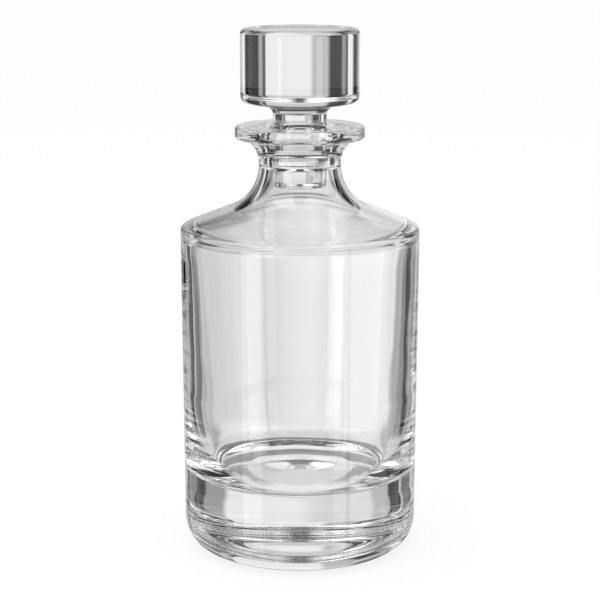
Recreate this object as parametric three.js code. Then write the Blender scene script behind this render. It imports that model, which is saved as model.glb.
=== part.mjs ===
// A round whisky decanter in clear crystal: a one-piece bottle with a heavy base and a solid stopper.
// Lengths are millimetres, +Z is up, and the origin is the centre of the ring that the bottle stands on.
// Both pieces are turned shapes. Each profile is a list of points (radius, height), written from the
// axis, round the outside, and back to the axis.
import * as THREE from "three";

// Foot of the bottle
const FOOT_RADIUS = 42.6; // outer edge of the flat standing ring
const FOOT_CURVE_OUT = 11.3; // the heel swells from the standing ring by this much
const FOOT_CURVE_UP = 14.3; // height at which the heel runs into the body
const PUNT_RADIUS = 36; // shallow hollow under the base, inside the standing ring
const PUNT_DEPTH = 1.5;

// Body and shoulder, outside
const BODY_DRAFT = 0.8; // the body widens by this much from heel to shoulder
const BODY_HEIGHT = 150.2; // height at which the lines of body and shoulder cross
const SHOULDER_EDGE_ROUND = 2.8;
const SHOULDER_SLOPE = 22.1; // degrees above level
const SHOULDER_SWEEP = 21; // radius of the curve from shoulder to neck

// Neck and lip, outside
const NECK_RADIUS = 18.7; // at the waist of the neck
const NECK_STRAIGHT = 0.4; // straight stretch at the waist
const LIP_SWEEP = 12.5; // radius of the curve from neck to lip
const LIP_RADIUS = 29.5;
const LIP_UNDERSIDE = 2.6; // flat ring left under the lip
const LIP_THICKNESS = 5.9;
const LIP_ROUND_TOP = 1.5;
const LIP_ROUND_BOTTOM = 1.4;

// Inside of the bottle
const SHOULDER_WALL = 4.5; // neck and shoulder, measured square to the glass
const WALL_AT_SHOULDER = 6;
const WALL_AT_CORNER = 8.5; // where the wall begins to curve in towards the floor
const FLOOR_HEIGHT = 31; // thickness of the base
const FLOOR_RADIUS = 25.8; // flat middle of the floor
const DISH_RADIUS = 37.6; // ring at which the floor's shallow dish meets the curve up to the wall
const DISH_DEPTH = 3.5;
const CORNER_RISE = 40.5; // height of that curve
const INNER_SHOULDER_ROUND = 5;

// Mouth of the bottle and the seat of the stopper
const MOUTH_RADIUS = 16.6; // where the flare of the mouth meets the top of the lip
const MOUTH_DEPTH = 6; // from the top of the lip down to the seat
const SEAT_LENGTH = 12;
const SEAT_LEDGE = 1.2; // height of the slope from the seat out to the wall of the neck
const SEAT_CLEARANCE = 0.3; // between plug and seat, square to the axis

// Stopper
const PLUG_RADIUS = 12.4; // right under the head
const PLUG_LENGTH = 38.6;
const PLUG_TAPER = 0.7; // degrees from the axis
const PLUG_END_ROUND = 1.2;
const HEAD_GAP = 10.4; // from the top of the lip to the underside of the head
const HEAD_FLARE_OUT = 10.9; // the plug flares out into the underside of the head by this much
const HEAD_FLARE_DEPTH = 5.2;
const HEAD_RADIUS = 26.9;
const HEAD_HEIGHT = 33.2;
const HEAD_ROUND_TOP = 2.4;
const HEAD_ROUND_BOTTOM = 3;

// Fineness of the turned surfaces
const SIDES = 60;

const radians = THREE.MathUtils.degToRad;
const point = (radius, height) => new THREE.Vector2(radius, height);

// Points along a quarter, or less, of an ellipse. Angles are in degrees from the outward direction, and
// turn upwards.
function curve(centre, out, up, from, to, steps) {
  const points = [];
  for (let i = 0; i <= steps; i += 1) {
    const angle = radians(from + ((to - from) * i) / steps);
    points.push(point(centre.x + out * Math.cos(angle), centre.y + up * Math.sin(angle)));
  }
  return points;
}

const round = (centre, radius, from, to, steps) => curve(centre, radius, radius, from, to, steps);

// The solid that a profile sweeps about the vertical axis.
function turned(profile, name, material) {
  const geometry = new THREE.LatheGeometry(profile, SIDES);
  geometry.rotateX(Math.PI / 2);
  const mesh = new THREE.Mesh(geometry, material);
  mesh.name = name;
  return mesh;
}

// Heights and radii that follow from the driving dimensions, from the foot upwards
const slope = Math.tan(radians(SHOULDER_SLOPE));
const heelRadius = FOOT_RADIUS + FOOT_CURVE_OUT;
const cornerRadius = heelRadius + BODY_DRAFT;
const sweepCentreRadius = NECK_RADIUS + SHOULDER_SWEEP;

// Height of the shoulder's cone at a radius, on the outside or a wall's thickness further in.
function shoulderHeight(radius, wall) {
  return BODY_HEIGHT + (cornerRadius - radius) * slope - wall / Math.cos(radians(SHOULDER_SLOPE));
}

// The sweep from shoulder to neck touches the cone, so its centre lies one sweep radius above the cone.
const waistHeight = shoulderHeight(sweepCentreRadius, -SHOULDER_SWEEP);
const lipFlatRadius = LIP_RADIUS - LIP_ROUND_BOTTOM - LIP_UNDERSIDE;
const lipSweepTurn = THREE.MathUtils.radToDeg(Math.acos(1 - (lipFlatRadius - NECK_RADIUS) / LIP_SWEEP));
const lipSweepCentre = point(NECK_RADIUS + LIP_SWEEP, waistHeight + NECK_STRAIGHT);
const lipBottom = lipSweepCentre.y + LIP_SWEEP * Math.sin(radians(lipSweepTurn));
const lipTop = lipBottom + LIP_THICKNESS;
const seatTop = lipTop - MOUTH_DEPTH;
const seatBottom = seatTop - SEAT_LENGTH;
const headBottom = lipTop + HEAD_GAP;
const headTop = headBottom + HEAD_HEIGHT;
const plugBottom = headBottom - PLUG_LENGTH;

// Radius of the tapered plug at a height, and of the seat that is cut to fit it.
const plugRadius = (height) => PLUG_RADIUS - (headBottom - height) * Math.tan(radians(PLUG_TAPER));
const seatRadius = (height) => plugRadius(height) + SEAT_CLEARANCE;

// Centre of the round between a cone that slopes down outwards and a wall that is nearly upright.
function shoulderRoundCentre(wallRadius, wall, radius) {
  const centreRadius = wallRadius - radius;
  return point(centreRadius, shoulderHeight(centreRadius, wall + radius));
}

function bottleProfile() {
  const puntBall = (PUNT_RADIUS ** 2 + PUNT_DEPTH ** 2) / (2 * PUNT_DEPTH);
  const puntTurn = THREE.MathUtils.radToDeg(Math.asin(PUNT_RADIUS / puntBall));
  const punt = round(point(0, PUNT_DEPTH - puntBall), puntBall, 90, 90 - puntTurn, 4);
  const heel = curve(point(FOOT_RADIUS, FOOT_CURVE_UP), FOOT_CURVE_OUT, FOOT_CURVE_UP, -90, 0, 9);

  const edgeCentre = shoulderRoundCentre(cornerRadius, 0, SHOULDER_EDGE_ROUND);
  const edge = round(edgeCentre, SHOULDER_EDGE_ROUND, 0, 90 - SHOULDER_SLOPE, 4);
  const sweepCentre = point(sweepCentreRadius, waistHeight);
  const sweep = round(sweepCentre, SHOULDER_SWEEP, 270 - SHOULDER_SLOPE, 180, 7);
  const lipSweep = round(lipSweepCentre, LIP_SWEEP, 180, 180 - lipSweepTurn, 5);
  const lipUnder = round(
    point(LIP_RADIUS - LIP_ROUND_BOTTOM, lipBottom + LIP_ROUND_BOTTOM),
    LIP_ROUND_BOTTOM, -90, 0, 3,
  );
  const lipOver = round(point(LIP_RADIUS - LIP_ROUND_TOP, lipTop - LIP_ROUND_TOP), LIP_ROUND_TOP, 0, 90, 3);

  const mouthFlare = MOUTH_RADIUS - seatRadius(seatTop);
  const mouth = curve(point(MOUTH_RADIUS, seatTop), mouthFlare, MOUTH_DEPTH, 90, 180, 5);
  const seat = [point(seatRadius(seatBottom), seatBottom)];
  const innerSweepRadius = SHOULDER_SWEEP + SHOULDER_WALL;
  const ledgeBottom = seatBottom - SEAT_LEDGE;
  const ledgeTurn = THREE.MathUtils.radToDeg(Math.asin((waistHeight - ledgeBottom) / innerSweepRadius));
  const innerSweep = round(sweepCentre, innerSweepRadius, 180 + ledgeTurn, 270 - SHOULDER_SLOPE, 6);

  const innerTopRadius = cornerRadius - WALL_AT_SHOULDER;
  const innerEdgeCentre = shoulderRoundCentre(innerTopRadius, SHOULDER_WALL, INNER_SHOULDER_ROUND);
  const innerEdge = round(innerEdgeCentre, INNER_SHOULDER_ROUND, 90 - SHOULDER_SLOPE, 0, 4);
  const wallCornerRadius = cornerRadius - WALL_AT_CORNER;
  const corner = curve(
    point(DISH_RADIUS, FLOOR_HEIGHT + DISH_DEPTH + CORNER_RISE),
    wallCornerRadius - DISH_RADIUS, CORNER_RISE, 0, -90, 9,
  );
  const dish = [point(FLOOR_RADIUS, FLOOR_HEIGHT), point(0, FLOOR_HEIGHT)];

  return [
    ...punt, ...heel, ...edge, ...sweep, ...lipSweep, ...lipUnder, ...lipOver,
    ...mouth, ...seat, ...innerSweep, ...innerEdge, ...corner, ...dish,
  ];
}

function stopperProfile() {
  const endRadius = plugRadius(plugBottom);
  const plugEnd = round(
    point(endRadius - PLUG_END_ROUND, plugBottom + PLUG_END_ROUND),
    PLUG_END_ROUND, -90, 0, 3,
  );
  const flareBottom = headBottom - HEAD_FLARE_DEPTH;
  const flare = curve(
    point(plugRadius(flareBottom) + HEAD_FLARE_OUT, flareBottom),
    HEAD_FLARE_OUT, HEAD_FLARE_DEPTH, 180, 90, 6,
  );
  const headUnder = round(
    point(HEAD_RADIUS - HEAD_ROUND_BOTTOM, headBottom + HEAD_ROUND_BOTTOM),
    HEAD_ROUND_BOTTOM, -90, 0, 4,
  );
  const headOver = round(
    point(HEAD_RADIUS - HEAD_ROUND_TOP, headTop - HEAD_ROUND_TOP),
    HEAD_ROUND_TOP, 0, 90, 4,
  );
  return [point(0, plugBottom), ...plugEnd, ...flare, ...headUnder, ...headOver, point(0, headTop)];
}

const bottleGlass = new THREE.MeshStandardMaterial({
  name: "bottle_crystal",
  color: 0xf3f6f6,
  roughness: 0.02,
  metalness: 0,
  transparent: true,
  opacity: 0.35,
});
const stopperGlass = new THREE.MeshStandardMaterial({
  name: "stopper_crystal",
  color: 0xf6f8f8,
  roughness: 0.02,
  metalness: 0,
  transparent: true,
  opacity: 0.35,
});

const decanter = new THREE.Group();
decanter.name = "decanter";
decanter.add(turned(bottleProfile(), "bottle", bottleGlass));
decanter.add(turned(stopperProfile(), "stopper", stopperGlass));

export default decanter;
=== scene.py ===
"""A round whisky decanter in clear crystal: a heavy-based bottle and its solid drum stopper.

The glass is turned about the vertical axis. Sizes are in millimetres, as on a workshop drawing, and
become metres when a mesh is made.
"""

import logging
import math
from dataclasses import dataclass
from enum import Enum

import bmesh
import bpy
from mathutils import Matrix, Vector


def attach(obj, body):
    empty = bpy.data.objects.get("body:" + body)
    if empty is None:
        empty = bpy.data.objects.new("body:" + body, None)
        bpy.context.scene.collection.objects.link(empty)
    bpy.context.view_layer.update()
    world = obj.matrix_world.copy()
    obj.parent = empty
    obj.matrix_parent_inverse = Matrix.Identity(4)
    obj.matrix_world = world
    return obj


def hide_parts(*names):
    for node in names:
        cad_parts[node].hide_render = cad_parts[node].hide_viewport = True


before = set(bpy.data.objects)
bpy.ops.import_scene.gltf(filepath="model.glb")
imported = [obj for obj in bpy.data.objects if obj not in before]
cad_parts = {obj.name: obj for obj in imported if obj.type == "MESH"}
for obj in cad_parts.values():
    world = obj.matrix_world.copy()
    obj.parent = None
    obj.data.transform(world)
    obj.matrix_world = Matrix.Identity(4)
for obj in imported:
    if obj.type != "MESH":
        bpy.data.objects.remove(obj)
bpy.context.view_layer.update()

log = logging.getLogger("decanter")

MM = 0.001


class Socket:
    """A node's output, on which sums can be written as on a number."""

    def __init__(self, tree: "Shading", output: bpy.types.NodeSocket | None) -> None:
        """Keeps the output and the tree that it is in."""
        self.tree = tree
        self.output = output

    def _sum(self, operation: str, *terms: "Socket | float") -> "Socket":
        """Adds a Math node.

        Args:
            operation: the Math node's operation.
            terms: its inputs in order, as sockets or numbers.

        Returns:
            The node's value.
        """
        return self.tree.node("ShaderNodeMath", {"operation": operation}, dict(enumerate(terms)))

    def __add__(self, other: "Socket | float") -> "Socket":
        """The sum of the two."""
        return self._sum("ADD", self, other)

    __radd__ = __add__

    def __sub__(self, other: "Socket | float") -> "Socket":
        """This one less the other."""
        return self._sum("SUBTRACT", self, other)

    def __rsub__(self, other: float) -> "Socket":
        """The other less this one."""
        return self._sum("SUBTRACT", other, self)

    def __mul__(self, other: "Socket | float") -> "Socket":
        """The product of the two."""
        return self._sum("MULTIPLY", self, other)

    __rmul__ = __mul__

    def at_least(self, other: "Socket | float") -> "Socket":
        """The larger of the two."""
        return self._sum("MAXIMUM", self, other)

    def magnitude(self) -> "Socket":
        """The value without its sign."""
        return self._sum("ABSOLUTE", self)

    def arc_sine(self) -> "Socket":
        """The angle whose sine is the value, in radians."""
        return self._sum("ARCSINE", self)

    def azimuth_with(self, other: "Socket") -> "Socket":
        """The angle of the level direction whose parts are this one and the other, in radians."""
        return self._sum("ARCTAN2", self, other)

    def wrapped(self, half: float) -> "Socket":
        """The value brought into the range from minus half a turn to half a turn."""
        return self._sum("WRAP", self, half, -half)

    def fading(self, start: float, stop: float) -> "Socket":
        """One where the value is below start, falling smoothly to nothing at stop."""
        return self.tree.node("ShaderNodeMapRange", {"interpolation_type": "SMOOTHSTEP"},
                              {"Value": self, "From Min": start, "From Max": stop,
                               "To Min": 1.0, "To Max": 0.0})


class Shading:
    """A node tree that is being written."""

    def __init__(self, tree: bpy.types.NodeTree) -> None:
        """Empties the tree."""
        self.tree = tree
        tree.nodes.clear()

    def node(self, kind: str, settings: dict | None = None, sockets: dict | None = None,
             output: int | str = 0) -> Socket:
        """Adds a node of any kind.

        Args:
            kind: the node's type.
            settings: its properties, which are set first.
            sockets: its inputs by name or number, each a value or the Socket that feeds it.
            output: the name or number of the output to return.

        Returns:
            The node's output. A material's or a world's own output node has none, and gives an empty
            Socket.
        """
        made = self.tree.nodes.new(kind)
        for name, value in (settings or {}).items():
            setattr(made, name, value)
        for name, value in (sockets or {}).items():
            if isinstance(value, Socket):
                self.tree.links.new(value.output, made.inputs[name])
            else:
                made.inputs[name].default_value = value
        return Socket(self, made.outputs[output] if made.outputs else None)

    def parts(self, vector: Socket) -> list[Socket]:
        """The vector's three parts: across, ahead and up."""
        split = self.node("ShaderNodeSeparateXYZ", None, {"Vector": vector}).output.node
        return [Socket(self, part) for part in split.outputs]


class Make(Enum):
    """How a piece of glass was formed, which sets how far its surface strays from true."""

    BLOWN = "blown in a mould"
    PRESSED = "pressed and polished"


@dataclass(frozen=True)
class Crystal:
    """Clear crystal glass. Lengths on its surface are in metres."""

    name: str
    make: Make
    tint: tuple[float, float, float] = (1.0, 1.0, 1.0)
    index: float = 1.54

    INNER_WAVES = 40.0  # waves of the wall's inner face stand this many times as high as the others
    INNER_FACE = 0.0500  # the wall's inner face lies within this radius, and its outer face outside it
    FACE_FADE = 0.0015  # over which the inner face's waves give way to the outer face's
    WALL_MIDDLE = 0.092  # height of the middle of the wall
    WALL_HALF = 0.056  # from there to where the inner face's waves have died out
    WALL_FADE = 0.012  # over which they die out
    POLISH_GRAIN = 240.0  # patches of polish, per metre
    POLISH_CLEAR = 0.55  # patches below this are perfectly smooth
    POLISH_HAZE = 0.02  # roughness for each unit above that

    def ripple(self) -> tuple[float, float]:
        """How closely the surface's waves lie, per metre, and how high they stand, in metres."""
        return {Make.BLOWN: (22.0, 0.00001), Make.PRESSED: (60.0, 0.000002)}[self.make]

    def _inside(self, tree: Shading, place: Socket) -> Socket:
        """Finds the inner face of the bottle's wall, which no mould touched.

        Args:
            tree: the material's nodes.
            place: the place on the bottle, in metres.

        Returns:
            One on the inner face of the wall, falling to nothing near the floor and the shoulder.
        """
        height = tree.parts(place)[2]
        level = tree.node("ShaderNodeVectorMath", {"operation": "MULTIPLY"},
                          {0: place, 1: (1.0, 1.0, 0.0)})
        radius = tree.node("ShaderNodeVectorMath", {"operation": "LENGTH"}, {0: level}, output="Value")
        off_middle = (height - self.WALL_MIDDLE).magnitude()
        return (radius.fading(self.INNER_FACE, self.INNER_FACE + self.FACE_FADE)
                * off_middle.fading(self.WALL_HALF - self.WALL_FADE, self.WALL_HALF))

    def material(self) -> bpy.types.Material:
        """Makes the glass.

        Returns:
            A clear refracting material whose surface is gently wavy and very faintly uneven in polish.
        """
        made = bpy.data.materials.new(self.name)
        made.use_nodes = True
        tree = Shading(made.node_tree)
        place = tree.node("ShaderNodeTexCoord", output="Object")
        closeness, height = self.ripple()
        waves = tree.node("ShaderNodeTexNoise", None,
                          {"Vector": place, "Scale": closeness, "Detail": 2.0})
        if self.make is Make.BLOWN:
            waves = waves * (1 + self._inside(tree, place) * (self.INNER_WAVES - 1))
        bump = tree.node("ShaderNodeBump", None, {"Height": waves, "Strength": 1.0, "Distance": height},
                         output="Normal")
        polish = tree.node("ShaderNodeTexNoise", None,
                           {"Vector": place, "Scale": self.POLISH_GRAIN, "Detail": 3.0})
        glass = tree.node("ShaderNodeBsdfPrincipled", None, {
            "Base Color": (*self.tint, 1.0),
            "Roughness": (polish - self.POLISH_CLEAR).at_least(0.0) * self.POLISH_HAZE,
            "IOR": self.index,
            "Transmission Weight": 1.0,
            "Normal": bump,
        })
        tree.node("ShaderNodeOutputMaterial", None, {"Surface": glass})
        return made


class Outline:
    """The points (radius, height) of a turned profile, in millimetres."""

    STEP = 2.5  # most degrees between two points of a curve
    GUARD = 0.4  # from each end of a long stretch to its guard point
    LONG = 3.2  # a stretch longer than this gets guard points
    SAME = 0.001  # points nearer than this are one
    SHARP = 10.0  # degrees at which two faces meet in a sharp edge

    def __init__(self) -> None:
        """Starts with no points."""
        self.points: list[tuple[float, float]] = []

    def to(self, radius: float, height: float) -> "Outline":
        """Goes straight to a point, unless it is already there.

        A long stretch also gets a point near each end, so that the smooth shading of its ends does not
        bend the light along all of it.

        Args:
            radius: the point's distance from the axis.
            height: its height.

        Returns:
            This outline.
        """
        if not self.points:
            self.points.append((radius, height))
            return self
        start = self.points[-1]
        length = math.dist(start, (radius, height))
        if length > self.LONG:
            for share in (self.GUARD / length, 1 - self.GUARD / length):
                self.points.append((start[0] + (radius - start[0]) * share,
                                    start[1] + (height - start[1]) * share))
        if length > self.SAME:
            self.points.append((radius, height))
        return self

    def curve(self, radius: float, height: float, out: float, up: float, start: float,
              stop: float) -> "Outline":
        """Goes along part of an ellipse.

        Args:
            radius: the ellipse's centre, measured from the axis.
            height: the centre's height.
            out: half of its width.
            up: half of its height.
            start: angle at which the part starts, in degrees from outwards, turning upwards.
            stop: angle at which it ends.

        Returns:
            This outline.
        """
        steps = max(2, math.ceil(abs(stop - start) / self.STEP))
        for i in range(steps + 1):
            angle = math.radians(start + (stop - start) * i / steps)
            self.to(radius + out * math.cos(angle), height + up * math.sin(angle))
        return self

    def turned(self, name: str, sides: int) -> bpy.types.Object:
        """Sweeps the outline about the vertical axis.

        Args:
            name: the new object's name.
            sides: how many facets go round.

        Returns:
            A smooth closed mesh in metres.
        """
        ends = (self.points[0], self.points[-1])
        rings = self.points[1:-1]
        corners = [(0.0, 0.0, end[1] * MM) for end in ends]
        for radius, height in rings:
            for side in range(sides):
                angle = math.tau * side / sides
                corners.append((radius * math.cos(angle) * MM, radius * math.sin(angle) * MM, height * MM))

        def corner(ring: int, side: int) -> int:
            """The number of a corner by its ring and side."""
            return 2 + ring * sides + side % sides

        faces = [(0, corner(0, s + 1), corner(0, s)) for s in range(sides)]
        for ring in range(len(rings) - 1):
            faces += [(corner(ring, s), corner(ring, s + 1), corner(ring + 1, s + 1), corner(ring + 1, s))
                      for s in range(sides)]
        last = len(rings) - 1
        faces += [(1, corner(last, s), corner(last, s + 1)) for s in range(sides)]
        mesh = bpy.data.meshes.new(name)
        mesh.from_pydata(corners, [], faces)
        mesh.shade_smooth()
        mesh.set_sharp_from_angle(angle=math.radians(self.SHARP))
        made = bpy.data.objects.new(name, mesh)
        bpy.context.scene.collection.objects.link(made)
        return made


@dataclass
class Stopper:
    """The solid stopper: a drum head on a short tapered plug."""

    underside: float  # height of the head's underside
    plug_radius: float = 12.4  # right under the head
    plug_length: float = 38.6
    plug_taper: float = 0.7  # degrees from the axis
    plug_end_round: float = 1.2
    head_flare_out: float = 10.9  # the plug flares out into the head's underside by this much
    head_flare_depth: float = 5.2
    head_radius: float = 26.9
    head_height: float = 33.2
    head_round_top: float = 2.4
    head_round_bottom: float = 3.0
    sides: int = 256

    def radius_at(self, height: float) -> float:
        """Radius of the tapered plug at a height."""
        return self.plug_radius - (self.underside - height) * math.tan(math.radians(self.plug_taper))

    def outline(self) -> Outline:
        """Draws the stopper from the bottom of the plug to the top of the head.

        Returns:
            Its profile.
        """
        bottom = self.underside - self.plug_length
        top = self.underside + self.head_height
        end = self.radius_at(bottom)
        flare = self.underside - self.head_flare_depth
        line = Outline().to(0, bottom)
        line.curve(end - self.plug_end_round, bottom + self.plug_end_round, self.plug_end_round,
                   self.plug_end_round, -90, 0)
        line.curve(self.radius_at(flare) + self.head_flare_out, flare, self.head_flare_out,
                   self.head_flare_depth, 180, 90)
        line.curve(self.head_radius - self.head_round_bottom, self.underside + self.head_round_bottom,
                   self.head_round_bottom, self.head_round_bottom, -90, 0)
        line.curve(self.head_radius - self.head_round_top, top - self.head_round_top,
                   self.head_round_top, self.head_round_top, 0, 90)
        return line.to(0, top)

    def build(self, crystal: Crystal) -> bpy.types.Object:
        """Makes the stopper.

        Args:
            crystal: its glass.

        Returns:
            The finished piece.
        """
        made = self.outline().turned("crystal_stopper", self.sides)
        made.data.materials.append(crystal.material())
        return made


@dataclass
class Bottle:
    """The bottle: heavy base, straight body, sloping shoulder, waisted neck and flat lip."""

    foot_radius: float = 42.6  # outer edge of the flat standing ring
    foot_curve_out: float = 11.3  # the heel swells from the ring by this much
    foot_curve_up: float = 14.3  # height at which the heel runs into the body
    punt_radius: float = 36.0  # shallow hollow under the base
    punt_depth: float = 1.5
    body_draft: float = 0.8  # the body widens by this much from heel to shoulder
    body_height: float = 150.2  # height at which the lines of body and shoulder cross
    shoulder_edge_round: float = 2.8
    shoulder_slope: float = 22.1  # degrees above level
    shoulder_sweep: float = 21.0  # radius of the curve from shoulder to neck
    neck_radius: float = 18.7  # at the waist
    neck_straight: float = 0.4
    lip_sweep: float = 12.5  # radius of the curve from neck to lip
    lip_radius: float = 29.5
    lip_underside: float = 2.6  # flat ring left under the lip
    lip_thickness: float = 5.9
    lip_round_top: float = 1.5
    lip_round_bottom: float = 1.4
    shoulder_wall: float = 4.5  # thickness of glass in neck and shoulder
    wall_at_shoulder: float = 6.0
    wall_at_corner: float = 8.5  # where the wall begins to curve in towards the floor
    floor_height: float = 31.0  # thickness of the base
    floor_radius: float = 25.8  # flat middle of the floor
    dish_radius: float = 37.6  # ring at which the floor's shallow dish meets the curve up to the wall
    dish_depth: float = 3.5
    corner_rise: float = 40.5  # height of that curve
    inner_shoulder_round: float = 5.0
    mouth_radius: float = 16.6  # where the mouth's flare meets the top of the lip
    mouth_depth: float = 6.0  # from the top of the lip down to the seat
    seat_length: float = 12.0
    seat_ledge: float = 1.2  # height of the slope from the seat out to the wall of the neck
    seat_clearance: float = 0.3  # between plug and seat
    head_gap: float = 10.4  # from the top of the lip to the head's underside
    sides: int = 256

    def shoulder_at(self, radius: float, wall: float) -> float:
        """Height of the shoulder's cone at a radius, outside or a wall's thickness further in."""
        slope = math.radians(self.shoulder_slope)
        return self.body_height + (self.corner - radius) * math.tan(slope) - wall / math.cos(slope)

    @property
    def corner(self) -> float:
        """Radius at which the lines of body and shoulder cross."""
        return self.foot_radius + self.foot_curve_out + self.body_draft

    @property
    def sweep_centre(self) -> float:
        """Distance from the axis to the centre of the curve between shoulder and neck."""
        return self.neck_radius + self.shoulder_sweep

    @property
    def waist(self) -> float:
        """Height of the narrowest part of the neck."""
        return self.shoulder_at(self.sweep_centre, -self.shoulder_sweep)

    @property
    def lip_turn(self) -> float:
        """How far the curve under the lip turns, in degrees."""
        reach = self.lip_radius - self.lip_round_bottom - self.lip_underside - self.neck_radius
        return math.degrees(math.acos(1 - reach / self.lip_sweep))

    @property
    def lip_bottom(self) -> float:
        """Height of the underside of the lip."""
        return self.waist + self.neck_straight + self.lip_sweep * math.sin(math.radians(self.lip_turn))

    @property
    def lip_top(self) -> float:
        """Height of the top of the lip."""
        return self.lip_bottom + self.lip_thickness

    def round_centre(self, wall_radius: float, wall: float, radius: float) -> tuple[float, float]:
        """Centre of the round between the shoulder's cone and an upright wall.

        Args:
            wall_radius: radius of the upright wall.
            wall: thickness of glass above the cone.
            radius: radius of the round.

        Returns:
            The centre as (radius, height).
        """
        reach = wall_radius - radius
        return reach, self.shoulder_at(reach, wall + radius)

    def outline(self, stopper: Stopper) -> Outline:
        """Draws the bottle from under the base, round the outside, and back to the floor inside.

        Args:
            stopper: the stopper that the seat is ground to fit.

        Returns:
            Its profile.
        """
        line = Outline()
        ball = (self.punt_radius ** 2 + self.punt_depth ** 2) / (2 * self.punt_depth)
        punt_turn = math.degrees(math.asin(self.punt_radius / ball))
        line.to(0, self.punt_depth)
        line.curve(0, self.punt_depth - ball, ball, ball, 90, 90 - punt_turn)
        line.curve(self.foot_radius, self.foot_curve_up, self.foot_curve_out, self.foot_curve_up, -90, 0)
        edge = self.shoulder_edge_round
        line.curve(*self.round_centre(self.corner, 0, edge), edge, edge, 0, 90 - self.shoulder_slope)
        line.curve(self.sweep_centre, self.waist, self.shoulder_sweep, self.shoulder_sweep,
                   270 - self.shoulder_slope, 180)
        line.curve(self.neck_radius + self.lip_sweep, self.waist + self.neck_straight, self.lip_sweep,
                   self.lip_sweep, 180, 180 - self.lip_turn)
        below, above = self.lip_round_bottom, self.lip_round_top
        line.curve(self.lip_radius - below, self.lip_bottom + below, below, below, -90, 0)
        line.curve(self.lip_radius - above, self.lip_top - above, above, above, 0, 90)
        self._inside(line, stopper)
        return line

    def _inside(self, line: Outline, stopper: Stopper) -> None:
        """Adds the mouth, the seat and the hollow of the bottle to its profile.

        Args:
            line: the profile, which has come to the top of the lip.
            stopper: the stopper that the seat is ground to fit.
        """
        seat_top = self.lip_top - self.mouth_depth
        seat_bottom = seat_top - self.seat_length
        flare = self.mouth_radius - stopper.radius_at(seat_top) - self.seat_clearance
        line.curve(self.mouth_radius, seat_top, flare, self.mouth_depth, 90, 180)
        line.to(stopper.radius_at(seat_bottom) + self.seat_clearance, seat_bottom)
        sweep = self.shoulder_sweep + self.shoulder_wall
        ledge_turn = math.degrees(math.asin((self.waist - seat_bottom + self.seat_ledge) / sweep))
        line.curve(self.sweep_centre, self.waist, sweep, sweep, 180 + ledge_turn, 270 - self.shoulder_slope)
        edge = self.inner_shoulder_round
        centre = self.round_centre(self.corner - self.wall_at_shoulder, self.shoulder_wall, edge)
        line.curve(*centre, edge, edge, 90 - self.shoulder_slope, 0)
        line.curve(self.dish_radius, self.floor_height + self.dish_depth + self.corner_rise,
                   self.corner - self.wall_at_corner - self.dish_radius, self.corner_rise, 0, -90)
        line.to(self.floor_radius, self.floor_height).to(0, self.floor_height)

    def build(self, stopper: Stopper, crystal: Crystal) -> bpy.types.Object:
        """Makes the bottle.

        Args:
            stopper: the stopper that the seat is ground to fit.
            crystal: its glass.

        Returns:
            The finished piece.
        """
        made = self.outline(stopper).turned("crystal_bottle", self.sides)
        made.data.materials.append(crystal.material())
        return made


@dataclass(frozen=True)
class Card:
    """A bright or dark sheet of the surround, placed by its direction from the glass, in degrees. Bright
    cards are painted highlights and dark cards painted shade, shown only in the glass.

    Its level is its brightness, where 1 is white. Turn is measured clockwise, as seen from above, from
    straight behind the glass, and rise upwards from level. Its left and right edges fade over its
    softness, and its top and bottom over its fade.
    """

    name: str
    level: float
    turn: tuple[float, float]
    rise: tuple[float, float]
    softness: float
    fade: float = 3.0

    def cover(self, turn: Socket, rise: Socket) -> Socket:
        """How far the card covers a direction.

        Args:
            turn: the direction's turn, in degrees.
            rise: its rise, in degrees.

        Returns:
            One on the card, falling smoothly to nothing past its edges.
        """
        across = (turn - sum(self.turn) / 2).wrapped(180.0).magnitude()
        along = (rise - sum(self.rise) / 2).magnitude()
        width, height = self.turn[1] - self.turn[0], self.rise[1] - self.rise[0]
        return (across.fading((width - self.softness) / 2, (width + self.softness) / 2)
                * along.fading((height - self.fade) / 2, (height + self.fade) / 2))


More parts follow.
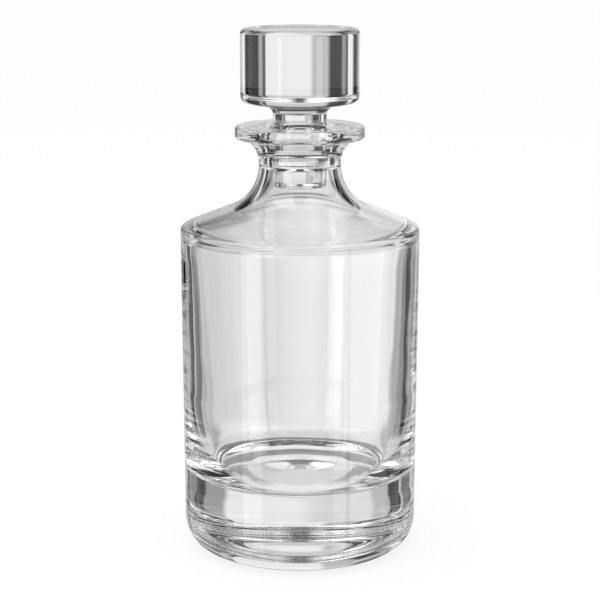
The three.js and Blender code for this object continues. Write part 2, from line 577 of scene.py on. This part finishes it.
@dataclass
class Studio:
    """A plain white set: pale floor, white surround with dark and bright cards, one soft lamp. The cards
    are painted light and shade, shown only in the glass.

    Places and sizes are in metres.
    """

    camera_distance: float = 0.8332
    camera_height: float = 0.2952
    camera_pitch: float = 12.17  # degrees below level
    camera_lens: float = 110.8  # millimetres
    camera_film: float = 36.0  # width, in millimetres
    camera_range: tuple[float, float] = (0.05, 50.0)  # nearest and furthest that it sees
    middle_height: float = 0.12  # of the decanter, on which screen and lamp are centred
    floor_size: float = 12.0
    paper_level: float = 0.85
    paper_glow: float = 0.85  # how much of the floor's white is its own
    light_bounces: int = 40
    screen_radius: float = 0.5
    screen_sides: int = 96
    screen_rings: int = 48
    surround_level: float = 0.9

    def camera(self) -> None:
        """Puts the camera where the photograph was taken from."""
        data = bpy.data.cameras.new("camera")
        data.lens = self.camera_lens
        data.sensor_width = self.camera_film
        data.clip_start, data.clip_end = self.camera_range
        made = bpy.data.objects.new("camera", data)
        made.location = (0.0, -self.camera_distance, self.camera_height)
        made.rotation_euler = (math.radians(90 - self.camera_pitch), 0.0, 0.0)
        bpy.context.scene.collection.objects.link(made)
        bpy.context.scene.camera = made

    def cards(self) -> list[Card]:
        """The cards, from the furthest back to the nearest, each over those before it."""
        return [
            Card("backdrop", 0.86, (-62, 62), (-32, 62), 6),
            Card("upper backdrop", 0.62, (-40, 40), (13, 50), 6),
            Card("lower backdrop", 0.83, (-62, 62), (-36, -12), 8),
            # painted shade, darkening the left of the body as seen through the glass
            Card("left shade of the lower backdrop", 0.67, (-62, -2), (-30, -7), 8, 8),
            Card("table edge", 0.7, (-62, 62), (-62, -34), 8),
            Card("front", 0.85, (149, 234), (-50, 36), 4),
            Card("dark over the front", 0.0, (64, 296), (15, 62), 4),
            Card("dark ceiling", 0.0, (-180, 180), (36, 90), 4),
            # painted shade of the pale floor, as the glass sees it below
            Card("floor in shade", 0.4, (50, 310), (-90, -50), 10),
            Card("shadow of the table", 0.2, (-14, 14), (-60, -46), 4),
            Card("right flag in front", 0.6, (150, 157), (-50, 36), 2),
            Card("left flag in front", 0.4, (-157, -146), (-50, 36), 2),
            Card("left side", 0.6, (-126, -66), (-50, 15), 6),
            Card("left shade", 0.5, (-18, -7), (-6, 13), 3),
            Card("left edge", 0.05, (-40, -30), (-2, 50), 1.5, 8),
            Card("left flag", 0.0, (-33, -18), (-2, 50), 6, 8),
            Card("left slat", 0.26, (-36.5, -31.5), (-2, 13), 1.5, 8),
            Card("left side flag", 0.0, (-66, -50), (-6, 50), 4),
            Card("left shade, low", 0.42, (-35, -24), (-36, -4), 4, 8),
            Card("left flag, low", 0.0, (-44, -34), (-36, -4), 2, 8),
            Card("left side flag, low", 0.15, (-60, -46), (-36, -6), 4, 8),
            Card("left shade of the floor", 0.3, (-34, -20), (-56, -32), 4, 10),
            # painted highlights: these strips glow only in the glass and light nothing
            Card("left strip", 2.0, (-144, -125.5), (-50, -4), 1.5),
            Card("left strip, high", 2.4, (-145, -138), (-4, 13), 1.5),
            Card("right slat", 0.08, (23.7, 27), (-2, 50), 1, 8),
            Card("right shade", 0.36, (27, 30.5), (-2, 50), 1, 8),
            Card("right flag", 0.0, (30.5, 56), (-2, 50), 2, 8),
            Card("right shade, low", 0.3, (25.3, 40), (-36, -4), 4, 8),
            Card("right flag, low", 0.0, (39, 50.5), (-36, -6), 3, 8),
            Card("right side shade, low", 0.25, (50, 70), (-36, -6), 3, 8),
            Card("right shade of the floor", 0.3, (21, 34), (-56, -32), 4, 10),
            # painted highlights: these boxes glow only in the glass and light nothing
            Card("left box overhead", 1.7, (-158, -90), (54, 84), 14, 12),
            Card("right box overhead", 1.1, (90, 158), (54, 84), 14, 12),
            Card("right box", 1.7, (91, 149), (-50, 0), 2),
            Card("right box, high", 2.6, (126, 149), (0, 14), 2),
            Card("frame of the right box", 0.0, (133, 137), (-50, 15), 1),
        ]

    def surround(self) -> bpy.types.Object:
        """Puts a round screen of cards about the glass, which only the glass sees. It is a painted
        reflection: it lights nothing else, and its cards paint the highlights and shade in the glass.

        Returns:
            The screen, a ball whose inside glows as the cards say, in painted highlights and painted shade.
        """
        mesh = bpy.data.meshes.new("screen")
        ball = bmesh.new()
        bmesh.ops.create_uvsphere(ball, u_segments=self.screen_sides, v_segments=self.screen_rings,
                                  radius=self.screen_radius)
        ball.to_mesh(mesh)
        ball.free()
        made = bpy.data.objects.new("screen", mesh)
        made.location = (0.0, 0.0, self.middle_height)
        bpy.context.scene.collection.objects.link(made)
        made.visible_camera = False
        made.visible_diffuse = False
        made.visible_shadow = False
        glow = bpy.data.materials.new("screen")
        glow.use_nodes = True
        glow.cycles.emission_sampling = "NONE"
        tree = Shading(glow.node_tree)
        place = tree.node("ShaderNodeTexCoord", output="Object")
        direction = tree.node("ShaderNodeVectorMath", {"operation": "NORMALIZE"}, {0: place})
        across, ahead, up = tree.parts(direction)
        turn = across.azimuth_with(ahead) * math.degrees(1)
        rise = up.arc_sine() * math.degrees(1)
        light = self.surround_level
        for card in self.cards():
            light = light + (card.level - light) * card.cover(turn, rise)
            log.info("card: %s", card.name)
        shine = tree.node("ShaderNodeEmission", None, {"Color": light, "Strength": 1.0})
        tree.node("ShaderNodeOutputMaterial", None, {"Surface": shine})
        mesh.materials.append(glow)
        return made

    def sky(self) -> None:
        """Lights the floor evenly with plain white from all round."""
        world = bpy.data.worlds.new("sky")
        bpy.context.scene.world = world
        world.use_nodes = True
        tree = Shading(world.node_tree)
        shine = tree.node("ShaderNodeBackground", None, {"Color": (1.0, 1.0, 1.0, 1.0), "Strength": 1.0})
        tree.node("ShaderNodeOutputWorld", None, {"Surface": shine})

    def floor(self) -> bpy.types.Object:
        """Makes the floor.

        Returns:
            A pale plane, white to the camera but for the object's soft shadow.
        """
        half = self.floor_size / 2
        mesh = bpy.data.meshes.new("floor")
        mesh.from_pydata([(-half, -half, 0), (half, -half, 0), (half, half, 0), (-half, half, 0)], [],
                         [(0, 1, 2, 3)])
        made = bpy.data.objects.new("floor", mesh)
        bpy.context.scene.collection.objects.link(made)
        made.visible_glossy = False
        made.visible_transmission = False
        paper = bpy.data.materials.new("white_paper")
        paper.use_nodes = True
        tree = Shading(paper.node_tree)
        pale = (self.paper_level, self.paper_level, self.paper_level, 1.0)
        matt = tree.node("ShaderNodeBsdfDiffuse", None, {"Color": pale})
        glow = tree.node("ShaderNodeEmission", None, {"Color": (1.0, 1.0, 1.0, 1.0), "Strength": 1.0})
        both = tree.node("ShaderNodeMixShader", None, {0: self.paper_glow, 1: matt, 2: glow})
        tree.node("ShaderNodeOutputMaterial", None, {"Surface": both})
        mesh.materials.append(paper)
        return made

    def lamp(self, name: str, place: tuple[float, float, float], side: float, power: float) -> None:
        """Adds a soft square lamp that points at the decanter.

        Args:
            name: the lamp's name.
            place: where it hangs, in metres.
            side: length of its side, in metres.
            power: its power, in watts.
        """
        data = bpy.data.lights.new(name, "AREA")
        data.size = side
        data.energy = power
        made = bpy.data.objects.new(name, data)
        made.location = place
        towards = Vector((0.0, 0.0, self.middle_height)) - Vector(place)
        made.rotation_euler = towards.to_track_quat("-Z", "Y").to_euler()
        made.visible_glossy = False
        made.visible_transmission = False
        bpy.context.scene.collection.objects.link(made)

    def build(self) -> None:
        """Sets up the camera, the surround, the floor and the lamp."""
        self.camera()
        self.sky()
        self.surround()
        self.floor()
        self.lamp("overhead", place=(-0.2, -0.3, 1.6), side=1.4, power=14.0)
        paths = bpy.context.scene.cycles
        paths.max_bounces = paths.transmission_bounces = paths.glossy_bounces = self.light_bounces
        bpy.context.scene.view_settings.view_transform = "Standard"


def join(piece: bpy.types.Object, node: str) -> None:
    """Lets a finished piece stand for its solid.

    Args:
        piece: the finished piece.
        node: the solid's name, which is also its body's name.
    """
    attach(piece, node)
    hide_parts(node)
    log.info("%s: %d faces, stands for %s", piece.name, len(piece.data.polygons), node)


def main() -> None:
    """Builds the decanter and its set, and reports each piece."""
    bottle = Bottle()
    stopper = Stopper(underside=bottle.lip_top + bottle.head_gap)
    Studio().build()
    join(bottle.build(stopper, Crystal("bottle_crystal", Make.BLOWN)), "bottle")
    join(stopper.build(Crystal("stopper_crystal", Make.PRESSED)), "stopper")


if __name__ == "__main__":
    logging.basicConfig(level=logging.INFO, format="%(name)s: %(message)s")
    main()
